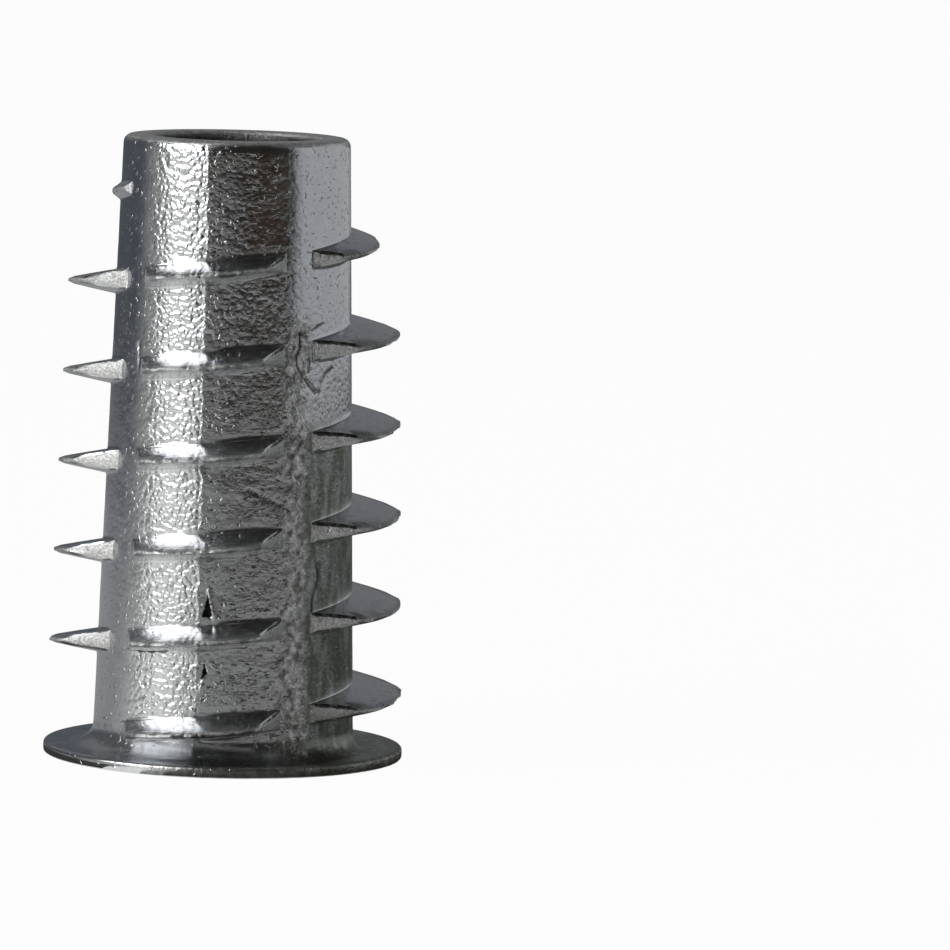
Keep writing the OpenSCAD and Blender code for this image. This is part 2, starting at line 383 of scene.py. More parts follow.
def casting_rows():
    """The whole closed profile at every column, as rows of radius and height, from the socket's
    mouth out over the flange, up the outside, over the tip and back down the bore. It returns the
    rows, the first and last row of each stretch, and the marks of the threaded wall."""
    mouth = socket_radius(PHI, SOCKET_W / 2 + MOUTH_BREAK)
    wall = socket_radius(PHI, SOCKET_W / 2)
    floor_z = SOCKET_DEPTH + SOCKET_CORNER_R - wall
    rim = FLANGE_R - RIM_ROUND
    fillet_r = body_radius(FLANGE_T + FLANGE_FILLET) + FLANGE_FILLET
    outside, rise, thread_marks = thread_rows()
    outside_r = np.maximum(base_radius(outside), body_radius(outside) + rise)
    shoulder = LENGTH - TIP_ROUND
    shoulder_r = body_radius(shoulder)
    tip_r, mouth_r = shoulder_r - TIP_ROUND, BORE_R + BORE_ROUND
    parts = {
        "under face": straight_rows(mouth, 0.0, rim, 0.0, np.arange(9) / 9.0),
        "lower rim": arc_rows(rim, RIM_ROUND, RIM_ROUND, -90, 0, 4),
        "upper rim": arc_rows(rim, FLANGE_T - RIM_ROUND, RIM_ROUND, 0, 90, 4),
        "flange top": straight_rows(rim, FLANGE_T, fillet_r, FLANGE_T, np.arange(1, 5) / 5.0),
        "flange fillet": flange_fillet_rows(12, outside[0]),
        "thread": (outside_r, outside),
        "neck": straight_rows(body_radius(TOP_EDGE), TOP_EDGE, shoulder_r, shoulder,
                              np.arange(6) / 6.0),
        "tip round": arc_rows(tip_r, shoulder, TIP_ROUND, 0, 90, 6),
        "tip face": straight_rows(tip_r, LENGTH, mouth_r, LENGTH, np.arange(1, 4) / 4.0),
        "bore mouth": arc_rows(mouth_r, LENGTH - BORE_ROUND, BORE_ROUND, 90, 180, 4),
        "bore": bore_rows(),
        "socket floor": straight_rows(BORE_R, BORE_FOOT_Z, wall, floor_z, np.arange(1, 5) / 5.0),
        "socket wall": straight_rows(wall, floor_z, wall, MOUTH_BREAK, np.arange(9) / 8.0),
    }
    stretches, start = {}, 0
    for name, (part_r, _) in parts.items():
        stretches[name] = (start, start + len(part_r))
        start += len(part_r)
    r = np.concatenate([part_r for part_r, _ in parts.values()])
    z = np.concatenate([part_z for _, part_z in parts.values()])
    marks = {}
    low, high = stretches["thread"]
    for name, value in thread_marks.items():
        marks[name] = np.zeros(r.shape)
        marks[name][low:high] = value
    return r, z, stretches, marks


def to_groove(theta, z, points, radius):
    """Distance in millimetres from each point of the wall to a line of (theta, height) points,
    with the wall rolled out flat."""
    arc = radius * np.radians(theta)
    best = np.full(theta.shape, np.inf)
    for (t0, z0), (t1, z1) in zip(points[:-1], points[1:]):
        a0, da, dz = radius * np.radians(t0), radius * np.radians(t1 - t0), z1 - z0
        s = np.clip(((arc - a0) * da + (z - z0) * dz) / (da * da + dz * dz), 0.0, 1.0)
        best = np.minimum(best, np.hypot(arc - a0 - s * da, z - z0 - s * dz))
    return best


def inside_triangle(theta, z, corners, radius):
    """Least distance to the sides of a triangle on the rolled-out wall, positive inside it."""
    arc = radius * np.radians(theta)
    p = [(radius * np.radians(t), h) for t, h in corners]
    best = np.full(theta.shape, np.inf)
    for (x0, y0), (x1, y1) in zip(p, p[1:] + p[:1]):
        side = (x1 - x0) * (z - y0) - (y1 - y0) * (arc - x0)
        best = np.minimum(best, side / np.hypot(x1 - x0, y1 - y0))
    return best


# Marks of this casting on the rolled-out wall, as points of theta and height: the seam of two die
# slides, two pits and the raised lips beside them, and cracks with the share of their full depth
SEAM = [(-14.7, 24.7), (-14.0, 21.9), (-14.0, 17.9), (-13.4, 14.0), (-13.2, 10.8), (-12.4, 3.2),
        (-12.2, 1.0)]
PITS = [[(-8.4, 7.05), (-10.9, 6.15), (-6.2, 6.17)], [(-9.1, 4.32), (-10.4, 3.62), (-7.8, 3.9)]]
LIPS = [[(-7.9, 7.25), (-6.6, 6.65), (-4.7, 6.0)], [(-9.2, 3.72), (-10.4, 3.18)]]
CRACKS = [
    (0.8, [(-50.9, 16.78), (-50.4, 16.19)]),
    (1.0, [(34.5, 17.45), (34.1, 16.86), (32.3, 16.53), (32.7, 16.16), (35.7, 15.72),
           (40.7, 15.25), (43.5, 15.04)]),
    (0.45, [(55.8, 15.94), (51.0, 15.73), (47.4, 15.35), (45.7, 14.99)]),
    (0.4, [(34.6, 17.46), (41.9, 17.5), (48.1, 17.74)]),
    (0.7, [(39.6, 16.34), (39.1, 15.85)]),
    (0.8, [(36.0, 13.13), (30.9, 12.62)]),
    (0.7, [(32.4, 11.75), (35.2, 11.48)]),
    (0.9, [(9.3, 11.25), (15.4, 11.01), (21.8, 10.69), (29.5, 10.39)]),
    (0.8, [(45.3, 8.13), (46.0, 7.56), (42.3, 6.79), (41.7, 6.23)]),
    (0.6, [(46.3, 3.47), (48.0, 2.66)]),
]


def cast_skin():
    """The profile's rows with what their marks are worked out from: the angle from the front,
    masks of the outside and of its bare wall, noise in three sizes, the distance from the seam,
    the angle and height that limits wander in, and the granular front lane."""
    r, z, stretches, marks = casting_rows()
    skin = SimpleNamespace(r=r, z=z, stretches=stretches, marks=marks)
    skin.theta = np.broadcast_to(THETA[None, :], r.shape)
    skin.outer = np.zeros(r.shape)
    skin.outer[stretches["flange fillet"][0]:stretches["tip round"][0]] = 1.0
    skin.wall = skin.outer * (marks["flank"] == 0)
    turn = (PHI[None, :] + 180.0) / 360.0 + np.zeros(r.shape)
    skin.lumps = skin_noise(turn, z, *LUMPS)
    skin.grain = skin_noise(turn, z, *GRAIN)
    skin.fine = skin_noise(turn, z, *FINE)
    seam_theta, seam_z = np.array(SEAM[::-1]).T
    from_seam = body_radius(z) * np.radians(skin.theta - np.interp(z, seam_z, seam_theta))
    skin.from_seam = from_seam + SEAM_WANDER * skin_noise(0.0 * turn, z, *SEAM_NOISE)
    skin.across = skin.theta + LIMIT_WANDER * skin.lumps
    skin.along = z + LIMIT_WANDER_Z * skin.lumps
    lane = smoothstep(*FRONT_LANE_LEFT, skin.across)
    lane = skin.outer * lane * smoothstep(*FRONT_LANE_RIGHT, skin.across)
    skin.lane = lane * smoothstep(*FRONT_LANE_TOP, skin.along)
    return skin


def pits_and_cracks(skin):
    """Depth of the pits and cracks under the wall, less the height of the lips, and the painted
    shade inside each, from 0 to 1."""
    depth, hollow_shade = np.zeros(skin.r.shape), np.zeros(skin.r.shape)
    for corners in PITS:
        inside = inside_triangle(skin.theta, skin.z, corners, PIT_WALL_R)
        pit = smoothstep(*PIT_EDGE, inside) * skin.wall
        depth += PIT_DEPTH * pit
        # Each pit is filled with painted shade
        hollow_shade = np.maximum(hollow_shade, pit)
    for strength, crack in CRACKS:
        near = to_groove(skin.theta, skin.z, crack, CRACK_WALL_R) + CRACK_WANDER * skin.grain
        depth += strength * CRACK_DEPTH * smoothstep(*CRACK_EDGE, near) * skin.wall
        # Painted shade along the middle of each crack
        dark = strength * CRACK_SHADE * smoothstep(*CRACK_SHADE_EDGE, near) * skin.wall
        hollow_shade = np.maximum(hollow_shade, dark)
    for lip in LIPS:
        near = to_groove(skin.theta, skin.z, lip, PIT_WALL_R)
        depth -= LIP_HEIGHT * np.exp(-(near / LIP_REACH) ** 2) * skin.wall
    return depth, hollow_shade


def skin_relief(skin, depth):
    """Height of the skin over the plain profile: lumps and grain on the wall, more of it in the
    front lane, a ridge that falls off exponentially from the seam, wear on the crests and cut
    ends, and the pits and cracks."""
    calm = 1.0 - RIGHT_LOSS * smoothstep(*CALM_RIGHT, skin.theta)
    calm -= (LEFT_LOSS * smoothstep(*CALM_LEFT, skin.theta)
             + BACK_LOSS * smoothstep(*CALM_BACK, skin.theta))
    relief = skin.wall * calm * (WALL_LUMPS * skin.lumps + WALL_GRAIN * skin.grain)
    relief += skin.lane * skin.wall * (LANE_FINE * skin.fine + LANE_GRAIN * skin.grain)
    relief += skin.wall * SEAM_RIDGE * np.exp(-np.abs(skin.from_seam) / SEAM_REACH)

    def wear(mean, grain_share):
        """Uneven wear about a mean, from fine noise and a share of the coarser grain."""
        return np.clip(mean + skin.fine + grain_share * skin.grain, 0.0, MOST_WEAR)

    relief -= skin.marks["crest"] * CREST_WEAR * wear(mean=0.2, grain_share=0.6)
    relief -= skin.marks["cut"] * CUT_WEAR * wear(mean=0.5, grain_share=0.5)
    return relief - depth


def skin_marks(skin, hollow_shade):
    """The marks that the metal's look follows, by name, each from 0 to about 1 at every point of
    the
    surface: products of smooth ramps over angle, height and distance from the seam. Three of them
    are painted shade: on the lower right, along the cut ends' upper edges, and in the pits, cracks
    and bore."""
    z, theta, across, stretches = skin.z, skin.theta, skin.across, skin.stretches
    flank = skin.marks["flank"]
    left = smoothstep(*HAMMER_LEFT, theta) * smoothstep(*LEFT_OF_SEAM, skin.from_seam)
    right = smoothstep(*RIGHT_OF_SEAM, skin.from_seam) * smoothstep(*WRINKLE_RIGHT, across)
    high_up = smoothstep(*CRINKLE_FOOT, skin.along)
    right = right * (1.0 - CRINKLE_LOSS * high_up * smoothstep(*CRINKLE_THIN, across))
    over_blade = np.zeros(skin.r.shape)
    for k in range(1, ROWS_OVER_BLADE):
        near = np.roll(flank > 0, k, axis=0) * (1.0 - k / ROWS_OVER_BLADE)
        over_blade = np.maximum(over_blade, near)
    rough = skin.wall * smoothstep(*SKIN_FOOT, z) * (1.0 - over_blade)
    mottle = np.zeros(skin.r.shape)
    torn = np.maximum(skin.marks["crest"], skin.marks["cut"])

    rim_end = stretches["upper rim"][1]
    rim_theta = theta[:rim_end]
    right_rim = smoothstep(*RIM_MOTTLE_LEFT, rim_theta) * smoothstep(*BACK_FADE, rim_theta)
    mottle[:rim_end] = RIM_MOTTLE_LEAST + RIM_MOTTLE_MORE * right_rim
    mottle[:stretches["lower rim"][0]] = UNDER_MOTTLE
    mottle[stretches["flange top"][0]:stretches["thread"][0]] = FLANGE_MOTTLE

    tip_start, mouth_start = stretches["tip round"][0], stretches["bore mouth"][0]
    bore_start, bore_end = stretches["bore"]
    tip, bore = slice(tip_start, bore_start), slice(bore_start, bore_end)
    tip_and_bore, hole = slice(tip_start, bore_end), slice(mouth_start, bore_end)
    mottle[tip] = below_tip(*TIP_MOTTLE, z[tip])
    mottle[mouth_start:bore_start] = 1.0
    mottle[bore] = below_tip(*BORE_MOTTLE, z[bore])
    rough[tip] = left[tip] * below_tip(*TIP_HAMMER, z[tip])
    torn[tip_and_bore] = TORN_SHARE * mottle[tip_and_bore]
    # Painted shade down the bore, from just under the tip's face
    hollow_shade[hole] = BORE_SHADE * below_tip(*BORE_SHADE_DEPTHS, z[hole])

    right_hammer = RIGHT_HAMMER_LEAST + RIGHT_HAMMER_MORE * smoothstep(*RIGHT_HAMMER_FOOT, z)
    right_side = smoothstep(*SPECKLE_LEFT, theta) * smoothstep(*BACK_FADE, theta)
    # Painted shade on the lower right wall and the flange's right, away from the key light
    wall_shade = skin.wall * smoothstep(*PAINTED_SHADE_LEFT, across) * smoothstep(*PAINTED_SHADE_TOP, skin.along)
    flange_shade = FLANGE_SHADE * smoothstep(*FLANGE_SHADE_LEFT, theta)
    shade_and_dull = np.where(z > FLANGE_SHADE_Z, wall_shade, flange_shade)
    # Painted shade along the upper edges of the cut blade ends
    edge_shade = skin.marks["edge"] * smoothstep(*EDGE_SHADE_LEFT, theta)
    return {
        "hammer": rough * (HAMMER_LEAST + HAMMER_MORE * left + right * right_hammer),
        "wrinkle": rough * right,
        "crinkle": rough * right * high_up,
        "satin": np.where(flank > 0, FLANK_SATIN, skin.wall * smoothstep(*SATIN_TOP, z)),
        "lane": skin.lane,
        "mottle": mottle,
        "speckle": skin.outer * (SPECKLE_LEAST + SPECKLE_MORE * right_side),
        "shade_and_dull": shade_and_dull * smoothstep(*PAINTED_SHADE_BACK, across),
        "edge_shade": edge_shade * smoothstep(*EDGE_SHADE_RIGHT, theta),
        "hollow_shade": hollow_shade,
        "torn": torn,
    }


def surface_normals(xyz):
    """Unit normals of a grid that closes both ways: the cross product of the steps from each
    point's neighbours across and along."""
    along = np.roll(xyz, -1, axis=0) - np.roll(xyz, 1, axis=0)
    across = np.roll(xyz, -1, axis=1) - np.roll(xyz, 1, axis=1)
    normal = np.cross(across, along)
    return normal / np.maximum(np.linalg.norm(normal, axis=-1, keepdims=True), 1e-9)


def ring_faces(shape, bore):
    """Quads of a grid that closes both ways. Where the columns close in the bore, each row joins
    the row one turn of the machine thread lower."""
    index = np.arange(shape[0] * shape[1]).reshape(shape)
    right = np.roll(index, -1, axis=1)
    low, high = bore
    right[low + SCREW_POINTS:high, -1] = index[low:high - SCREW_POINTS, 0]
    right[low:low + SCREW_POINTS, -1] = index[low, 0]
    below, right_below = np.roll(index, -1, axis=0), np.roll(right, -1, axis=0)
    return np.stack([index, right, right_below, below], axis=-1).reshape(-1, 4)


def clean_seams(mesh):
    """Merges points that lie on each other, drops faces with no area, and shades smoothly up to a
    sharp angle."""
    work = bmesh.new()
    work.from_mesh(mesh)
    bmesh.ops.remove_doubles(work, verts=work.verts, dist=MERGE_DISTANCE)
    bmesh.ops.dissolve_degenerate(work, dist=EMPTY_DISTANCE, edges=work.edges)
    work.to_mesh(mesh)
    work.free()
    mesh.shade_smooth()
    mesh.set_sharp_from_angle(angle=np.radians(SHARP_ANGLE))
    mesh.update()


def add_object(name, data):
    """An object of the scene with the given mesh, lamp or camera."""
    item = bpy.data.objects.new(name, data)
    bpy.context.scene.collection.objects.link(item)
    return item


def build_casting():
    """The casting's mesh: the profile rows turned round the axis, moved along their own normals by
    the cast skin's relief, and closed into a ring both ways."""
    skin = cast_skin()
    phi = np.radians(np.broadcast_to(PHI[None, :], skin.r.shape))
    xyz = np.stack([skin.r * np.cos(phi), skin.r * np.sin(phi), skin.z], axis=-1)
    depth, hollow_shade = pits_and_cracks(skin)
    xyz = xyz + surface_normals(xyz) * skin_relief(skin, depth)[..., None]
    mesh = bpy.data.meshes.new("insert_casting")
    faces = ring_faces(skin.r.shape, skin.stretches["bore"])
    mesh.from_pydata(xyz.reshape(-1, 3) * MM, [], faces)
    for name, value in skin_marks(skin, hollow_shade).items():
        layer = mesh.attributes.new(name, "FLOAT", "POINT")
        layer.data.foreach_set("value", value.ravel().astype(np.float32))
    clean_seams(mesh)
    return add_object("insert_casting", mesh)


def new_node(tree, kind, **values):
    """A node with its input values set by name."""
    node = tree.nodes.new(kind)
    for name, value in values.items():
        node.inputs[name.replace("_", " ")].default_value = value
    return node


def new_material(name):
    """A material of that name, with its node tree."""
    material = bpy.data.materials.new(name)
    material.use_nodes = True
    return material, material.node_tree


def attribute(tree, name):
    """The value of one of the casting's own marks."""
    node = tree.nodes.new("ShaderNodeAttribute")
    node.attribute_name = name
    return node.outputs["Fac"]


def arithmetic(tree, operation, first, second):
    """A plain operation on two values, each a socket or a number."""
    node = tree.nodes.new("ShaderNodeMath")
    node.operation = operation
    for socket, value in zip(node.inputs, (first, second)):
        if isinstance(value, (int, float)):
            socket.default_value = value
        else:
            tree.links.new(value, socket)
    return node.outputs[0]


def ramp(tree, value, low, high, at_low, at_high):
    """A value carried from one range to another and held at its ends."""
    node = new_node(tree, "ShaderNodeMapRange",
                    From_Min=low, From_Max=high, To_Min=at_low, To_Max=at_high)
    tree.links.new(value, node.inputs["Value"])
    return node.outputs["Result"]


def tint(tree, factor, first, second):
    """A colour between two, each a socket or a colour."""
    node = tree.nodes.new("ShaderNodeMix")
    node.data_type = "RGBA"
    tree.links.new(factor, node.inputs["Factor"])
    for name, value in (("A", first), ("B", second)):
        if isinstance(value, tuple):
            node.inputs[name].default_value = value
        else:
            tree.links.new(value, node.inputs[name])
    return node.outputs["Result"]


def noise(tree, place, scale, detail):
    """Smooth random values about one half over the given coordinates."""
    node = new_node(tree, "ShaderNodeTexNoise", Scale=scale, Detail=detail, Roughness=0.55)
    tree.links.new(place, node.inputs["Vector"])
    return node.outputs["Fac"]


def stretched(tree, place, upright):
    """Coordinates whose pattern is drawn out level or upright by a scale along the axis."""
    node = tree.nodes.new("ShaderNodeMapping")
    node.inputs["Scale"].default_value = (1.0, 1.0, upright)
    tree.links.new(place, node.inputs["Vector"])
    return node.outputs["Vector"]


def sum_of_products(tree, terms):
    """The sum of terms, each of which is a list of values that are multiplied together."""
    total = None
    for term in terms:
        product = term[0]
        for value in term[1:]:
            product = arithmetic(tree, "MULTIPLY", product, value)
        total = product if total is None else arithmetic(tree, "ADD", total, product)
    return total


# Colours of the metal, of the marks on it and of its painted shade, dark and light where they vary
ZINC_DARK, ZINC_LIGHT = (0.60, 0.61, 0.62, 1), (0.68, 0.69, 0.71, 1)
BROWN_FILM = (0.44, 0.38, 0.33, 1)
LANE_DARK, LANE_LIGHT = (0.24, 0.24, 0.23, 1), (0.95, 0.95, 0.94, 1)
MOTTLE_DARK, MOTTLE_LIGHT = (0.36, 0.365, 0.34, 1), (0.72, 0.73, 0.72, 1)
# Grey of the painted shade on the lower right
PAINTED_SHADE_GREY = (0.22, 0.23, 0.195, 1)
TORN_DARK, TORN_LIGHT = (0.53, 0.535, 0.53, 1), (0.82, 0.825, 0.82, 1)
SPECK_GREY = (0.08, 0.078, 0.072, 1)
# Near black of the painted shade along the cut ends' upper edges
EDGE_SHADE_GREY = (0.05, 0.05, 0.045, 1)
# Near black of the painted shade in the pits, cracks and bore
HOLLOW_SHADE_GREY = (0.02, 0.02, 0.02, 1)


def cast_zinc():
    """Bare cast zinc: a bright metal with a hammered skin of small domes, folds and dashes on the
    other side of the seam, a granular lane, mottled rims, a few specks, and torn grey metal on the
    crests and blade ends. Painted shade darkens the lower right, the upper edges of the cut ends,
    and the pits, cracks and bore."""
    material, tree = new_material("cast_zinc")
    link = tree.links.new
    shader = tree.nodes["Principled BSDF"]
    shader.inputs["Metallic"].default_value = 1.0
    hammer, wrinkle, crinkle = (attribute(tree, n) for n in ("hammer", "wrinkle", "crinkle"))
    lane, mottle, speckle = (attribute(tree, n) for n in ("lane", "mottle", "speckle"))
    shade_and_dull, edge_shade, satin = (attribute(tree, n) for n in ("shade_and_dull", "edge_shade", "satin"))
    hollow_shade, torn = (attribute(tree, n) for n in ("hollow_shade", "torn"))

    # Patterns, with their scales in cells to a metre
    place = tree.nodes.new("ShaderNodeTexCoord").outputs["Object"]
    level, upright = stretched(tree, place, 2.6), stretched(tree, place, 0.3)
    domes = new_node(tree, "ShaderNodeTexVoronoi", Scale=5000.0)
    domes.feature = "SMOOTH_F1"
    domes.inputs["Smoothness"].default_value = 0.45
    link(place, domes.inputs["Vector"])
    reach = domes.outputs["Distance"]
    grain = noise(tree, place, 9000.0, 2.0)
    blotch = noise(tree, place, 3200.0, 3.0)
    swell = noise(tree, place, 2400.0, 1.0)
    cloud = noise(tree, place, 1300.0, 2.0)
    speck = noise(tree, place, 5200.0, 0.0)
    dot = noise(tree, place, 7600.0, 1.0)
    patch = noise(tree, place, 600.0, 2.0)
    fold = noise(tree, level, 1500.0, 4.0)
    dash = noise(tree, level, 3600.0, 1.0)
    streak = noise(tree, upright, 2200.0, 3.0)

    # Height of the fine skin in metres, as a pattern times a mark times its full height
    amount = arithmetic(tree, "MULTIPLY", wrinkle, ramp(tree, patch, 0.35, 0.65, 0.4, 1.1))
    calm = ramp(tree, crinkle, 0.0, 1.0, 1.0, 0.35)
    calm = arithmetic(tree, "MULTIPLY", calm, ramp(tree, satin, 0.0, 1.0, 1.0, 0.85))
    dashes = arithmetic(tree, "MULTIPLY", ramp(tree, dash, 0.61, 0.69, 0.0, 1.0), wrinkle)
    grain_height = sum_of_products(
        tree, [[lane, 4.0e-5], [torn, 3.8e-5], [mottle, 2.0e-5], [shade_and_dull, 0.6e-5]])
    blotch_height = sum_of_products(tree, [[mottle, 3.0e-5], [lane, 3.6e-5]])
    height = sum_of_products(tree, [
        [reach, reach, hammer, -3.5e-5],
        [swell, hammer, 1.2e-5],
        [fold, amount, calm, 2.8e-5],
        [grain, wrinkle, 0.9e-5],
        [blotch, speckle, 0.6e-5],
        [blotch, crinkle, 1.6e-5],
        [dashes, -1.5e-5],
        [grain, grain_height],
        [blotch, blotch_height],
        [ramp(tree, speck, 0.70, 0.78, 0.0, 1.2e-5)],
    ])
    bump = new_node(tree, "ShaderNodeBump", Distance=1.0, Strength=1.0)
    link(height, bump.inputs["Height"])
    link(bump.outputs["Normal"], shader.inputs["Normal"])

    # Colour, from the bare metal to the marks that lie over it
    fine_tone = ramp(tree, grain, 0.35, 0.65, 0.0, 1.0)
    broad_tone = ramp(tree, blotch, 0.36, 0.64, 0.0, 1.0)
    colour = tint(tree, ramp(tree, cloud, 0.3, 0.7, 0.0, 1.0), ZINC_DARK, ZINC_LIGHT)
    brown = arithmetic(tree, "MULTIPLY", crinkle, ramp(tree, patch, 0.45, 0.65, 0.0, 0.4))
    colour = tint(tree, brown, colour, BROWN_FILM)
    colour = tint(tree, lane, colour, tint(tree, broad_tone, LANE_DARK, LANE_LIGHT))
    colour = tint(tree, mottle, colour, tint(tree, broad_tone, MOTTLE_DARK, MOTTLE_LIGHT))
    # Painted shade on the lower right, in upright streaks
    painted_shade = arithmetic(tree, "MULTIPLY", shade_and_dull, ramp(tree, streak, 0.36, 0.58, 0.45, 1.0))
    colour = tint(tree, painted_shade, colour, PAINTED_SHADE_GREY)
    colour = tint(tree, torn, colour, tint(tree, fine_tone, TORN_DARK, TORN_LIGHT))
    dots = arithmetic(tree, "MULTIPLY", ramp(tree, dot, 0.36, 0.28, 0.0, 0.7),
                      ramp(tree, patch, 0.35, 0.6, 0.2, 1.0))
    specks = sum_of_products(tree, [[dashes, 0.75], [dots, speckle]])
    colour = tint(tree, specks, colour, SPECK_GREY)
    # Painted shade along the cut ends' upper edges, with a ragged border
    ragged_edge_shade = arithmetic(tree, "ADD", edge_shade, ramp(tree, blotch, 0.3, 0.7, -0.12, 0.12))
    colour = tint(tree, ramp(tree, ragged_edge_shade, 0.78, 0.92, 0.0, 0.9), colour, EDGE_SHADE_GREY)
    # Painted shade in the pits, cracks and bore
    colour = tint(tree, hollow_shade, colour, HOLLOW_SHADE_GREY)
    link(colour, shader.inputs["Base Color"])

    bare_roughness = ramp(tree, cloud, 0.3, 0.7, 0.13, 0.2)
    roughness = sum_of_products(tree, [
        [bare_roughness], [lane, 0.12], [torn, 0.34], [mottle, 0.2], [wrinkle, 0.04],
        [shade_and_dull, 0.08], [satin, 0.06],
    ])
    link(roughness, shader.inputs["Roughness"])
    return material


def pale_floor():
    """A plain pale floor. It shows as nearly white to the camera and in reflections, and keeps the
    shadow of what stands on it."""
    half_width, glow_share = 1.5, 0.97
    x, y = np.meshgrid([-half_width, half_width], [-half_width, half_width])
    corners = np.stack([x.ravel(), y.ravel(), np.zeros(4)], axis=-1)
    mesh = bpy.data.meshes.new("floor")
    mesh.from_pydata(corners, [], [(0, 1, 3, 2)])
    floor = add_object("floor", mesh)
    material, tree = new_material("pale_floor")
    link = tree.links.new
    tree.nodes.remove(tree.nodes["Principled BSDF"])
    paint = new_node(tree, "ShaderNodeBsdfDiffuse", Color=(0.9, 0.9, 0.9, 1))
    glow = new_node(tree, "ShaderNodeEmission", Color=(1, 1, 1, 1), Strength=1.0)
    rays = tree.nodes.new("ShaderNodeLightPath").outputs
    seen = arithmetic(tree, "MAXIMUM", rays["Is Camera Ray"], rays["Is Glossy Ray"])
    seen = arithmetic(tree, "MAXIMUM", seen, rays["Is Transmission Ray"])
    mix = tree.nodes.new("ShaderNodeMixShader")
    link(arithmetic(tree, "MULTIPLY", seen, glow_share), mix.inputs["Fac"])
    link(paint.outputs["BSDF"], mix.inputs[1])
    link(glow.outputs["Emission"], mix.inputs[2])
    link(mix.outputs["Shader"], tree.nodes["Material Output"].inputs["Surface"])
    mesh.materials.append(material)


# From here on lengths are in metres. Azimuths run from the front (-Y) towards +X.
CARD_POINTS = 41
# How far the sheets lie over the floor, so that they don't share its plane
SHEET_LIFT = 0.00003
KEY_RADIANCE = 3.2


def softbox(name, azimuth, distance, height, width, tall, radiance):
    """A flat upright lamp that faces the axis, as bright all over as its radiance says: its power
    is radiance times pi times its area."""
    data = bpy.data.lights.new(name, "AREA")
    data.shape = "RECTANGLE"
    data.size, data.size_y = width, tall
    data.energy = radiance * np.pi * width * tall
    lamp = add_object(name, data)
    a = np.radians(azimuth)
    lamp.location = Vector((distance * np.sin(a), -distance * np.cos(a), height))
    aim = Vector((-lamp.location.x, -lamp.location.y, 0.0))
    lamp.rotation_euler = aim.to_track_quat("-Z", "Y").to_euler()
    lamp.visible_camera = False


def card(name, azimuths, inner, outer, shade, last_shade=None):
    """A grey card that glows at its own shade, a painted reflection that only the metal's
    reflections
    see: a strip between two azimuths, from one (distance, height) to another. Its shade may change
    evenly from one azimuth to the other."""
    a = np.radians(np.linspace(*azimuths, CARD_POINTS))
    ring = np.stack([np.sin(a), -np.cos(a)], axis=-1)
    edges = [np.column_stack([ring * d, np.full(CARD_POINTS, h)]) for d, h in (inner, outer)]
    k = np.arange(CARD_POINTS - 1)
    faces = np.stack([k, k + 1, k + 1 + CARD_POINTS, k + CARD_POINTS], axis=-1)
    mesh = bpy.data.meshes.new(name)
    mesh.from_pydata(np.concatenate(edges), [], faces)
    part = np.linspace(0.0, 1.0, CARD_POINTS)[:, None]
    shades = (1.0 - part) * np.array(shade) + part * np.array(last_shade or shade)
    colours = np.column_stack([np.tile(shades, (2, 1)), np.ones(2 * CARD_POINTS)])
    layer = mesh.attributes.new("shade", "FLOAT_COLOR", "POINT")
    layer.data.foreach_set("color", colours.ravel())
    obj = add_object(name, mesh)
    material, tree = new_material(name)
    tree.nodes.remove(tree.nodes["Principled BSDF"])
    own_shade = tree.nodes.new("ShaderNodeAttribute")
    own_shade.attribute_name = "shade"
    glow = new_node(tree, "ShaderNodeEmission", Strength=1.0)
    tree.links.new(own_shade.outputs["Color"], glow.inputs["Color"])
    tree.links.new(glow.outputs["Emission"], tree.nodes["Material Output"].inputs["Surface"])
    mesh.materials.append(material)
    obj.visible_camera = False
    obj.visible_diffuse = False
    obj.visible_shadow = False
    obj.visible_transmission = False


def sheet(name, azimuths, near, far, shade, last_shade=None, lift=SHEET_LIFT):
    """A card that lies on the table between two distances from the axis."""
    card(name, azimuths, (near, lift), (far, lift), shade, last_shade)


def key_sheets():
    """Pale glowing sheets on the side of the key light, a painted pool of its light on the table:
    brightest about its azimuth and close to the insert."""
    white = np.array([1.0, 1.01, 0.97])
    sides = (("left", (-82, -66), 0.50, 1.00), ("middle", (-66, -52), 1.00, 0.94),
             ("right", (-52, -27), 0.94, 0.46))
    reaches = (("near", 0.012, 0.1, 1.0), ("far", 0.1, 0.35, 0.85), ("end", 0.35, 1.4, 0.3))
    for side, azimuths, first, last in sides:
        for reach, near, far, part in reaches:
            sheet(f"table_key_{reach}_{side}", azimuths, near, far,
                  tuple(part * first * white), tuple(part * last * white))


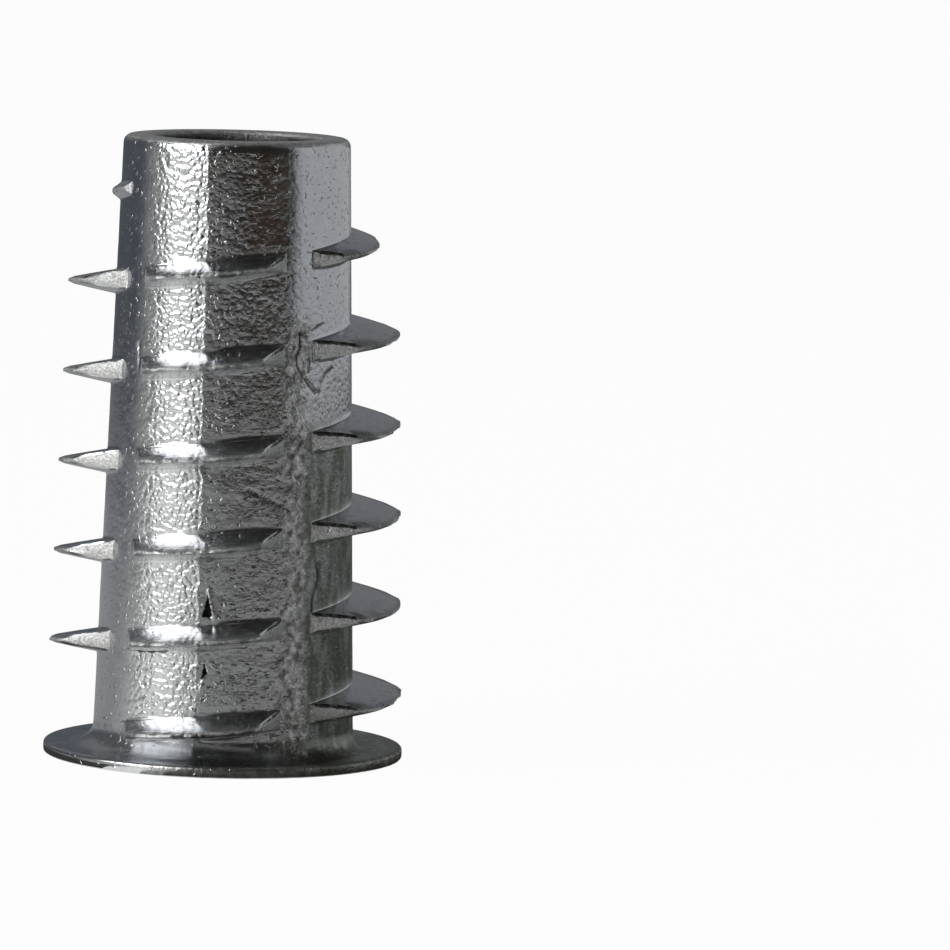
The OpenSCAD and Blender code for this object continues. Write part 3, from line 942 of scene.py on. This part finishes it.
def studio():
    """Soft light from the left. Glowing grey sheets on the table and cards round it, which are
    painted reflections, keep the pale room out of the metal, apart from the side of the key light,
    and fill in weakly from the right."""
    world = bpy.data.worlds.new("studio")
    world.use_nodes = True
    world.node_tree.nodes["Background"].inputs["Color"].default_value = (0.10, 0.10, 0.105, 1)
    bpy.context.scene.world = world
    softbox("key_softbox_low", -57, 0.25, 0.057, 0.145, 0.062, KEY_RADIANCE)
    softbox("key_softbox_high", -60, 0.25, 0.170, 0.24, 0.164, KEY_RADIANCE)

    over, shadow_reach = 2 * SHEET_LIFT, 0.011
    sheet("rim_shadow_left", (-180, -41), 0.0, shadow_reach, (0.05, 0.05, 0.05), lift=over)
    sheet("rim_shadow_right", (-19, 180), 0.0, shadow_reach, (0.05, 0.047, 0.042), lift=over)
    key_sheets()

    front, start, rest, edge = (-27, 58), (-27, 12), (12, 58), (58, 70)
    near_grey, middle_grey = (0.32, 0.325, 0.32), (0.17, 0.167, 0.16)
    far_grey = (0.035, 0.033, 0.03)
    dark, right_grey, right_shadow_grey = (0.02, 0.019, 0.017), (0.45, 0.46, 0.472), (0.08, 0.092, 0.083)
    sheet("table_front_near", front, 0.0, 0.1, near_grey)
    # The near and middle sheets fade at their right end into the painted shadow of the insert
    sheet("table_near_edge", edge, 0.0, 0.1, near_grey, right_shadow_grey)
    sheet("table_front_middle", front, 0.1, 0.25, middle_grey)
    sheet("table_middle_edge", edge, 0.1, 0.25, middle_grey, right_shadow_grey)
    sheet("table_front_start", start, 0.25, 0.445, (0.22, 0.22, 0.215), far_grey)
    sheet("table_front_far", rest, 0.25, 0.45, far_grey)
    card("front_start", start, (0.445, 0.0), (0.445, 0.05), (0.20, 0.20, 0.195), dark)
    sheet("table_front_edge", edge, 0.25, 0.45, far_grey, right_grey)
    card("front_card", (-27, 56), (0.45, 0.0), (0.5, 0.55), dark)
    card("front_edge", (56, 70), (0.45, 0.0), (0.5, 0.55), dark, right_grey)
    card("front_card_high", (-27, 64), (0.5, 0.55), (0.0, 0.55), (0.03, 0.034, 0.028))
    card("brown_card", (14, 50), (0.44, 0.0), (0.44, 0.05), (0.045, 0.027, 0.016))

    right, back = (70, 155), (155, 180)
    # Painted shadow of the insert on the table at its right, away from the key light, seen only in
    # reflections
    sheet("table_right_shadow", right, 0.0, 0.2, right_shadow_grey)
    sheet("table_right_far", right, 0.2, 0.45, right_grey)
    card("right_card", right, (0.45, 0.0), (0.45, 0.3), right_grey)
    sheet("table_back", back, 0.0, 0.3, (0.15, 0.155, 0.16))
    sheet("table_back_far", back, 0.3, 1.4, (0.28, 0.285, 0.29))

    left, left_edge = (-180, -108), (-108, -82)
    left_near, left_far, left_dark = (0.32, 0.325, 0.335), (0.17, 0.175, 0.185), (0.08, 0.09, 0.105)
    sheet("table_left_near", left, 0.0, 0.1, left_near)
    sheet("table_left_near_edge", left_edge, 0.0, 0.1, left_near, (0.50, 0.505, 0.485))
    sheet("table_left_far", left, 0.1, 0.2, left_far)
    sheet("table_left_far_edge", left_edge, 0.1, 0.2, left_far, (0.425, 0.43, 0.412))
    card("left_card", left, (0.2, 0.0), (0.2, 0.05), left_dark)
    card("left_edge", left_edge, (0.2, 0.0), (0.2, 0.05), left_dark, (0.36, 0.364, 0.35))
    card("back_card", (145, 215), (0.25, 0.035), (0.25, 0.22), (0.185, 0.19, 0.2))


def photo_camera():
    """The camera at the photograph's place: turned by yaw, pitch and roll, with a long lens."""
    yaw, pitch, roll = np.radians([-1.89, 5.93, 1.60])
    sensor, focal_pixels, picture_pixels = 36.0, 7485.0, 950.0
    right = np.array([np.cos(yaw), np.sin(yaw), 0.0])
    ahead = np.array([-np.sin(yaw) * np.cos(pitch), np.cos(yaw) * np.cos(pitch), -np.sin(pitch)])
    up = np.cross(right, ahead)
    side = np.cos(roll) * right + np.sin(roll) * up
    top = np.cos(roll) * up - np.sin(roll) * right
    turn = Matrix(np.stack([side, top, -ahead], axis=1).tolist()).to_4x4()
    data = bpy.data.cameras.new("camera")
    data.sensor_width = sensor
    data.lens = sensor * focal_pixels / picture_pixels
    data.clip_start = 0.01
    camera = add_object("camera", data)
    camera.matrix_world = Matrix.Translation((0.0, -0.300, 0.04274)) @ turn
    bpy.context.scene.camera = camera


bpy.context.scene.view_settings.view_transform = "Standard"
casting = build_casting()
casting.data.materials.append(cast_zinc())
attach(casting, "root")
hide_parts("insert")
pale_floor()
studio()
photo_camera()
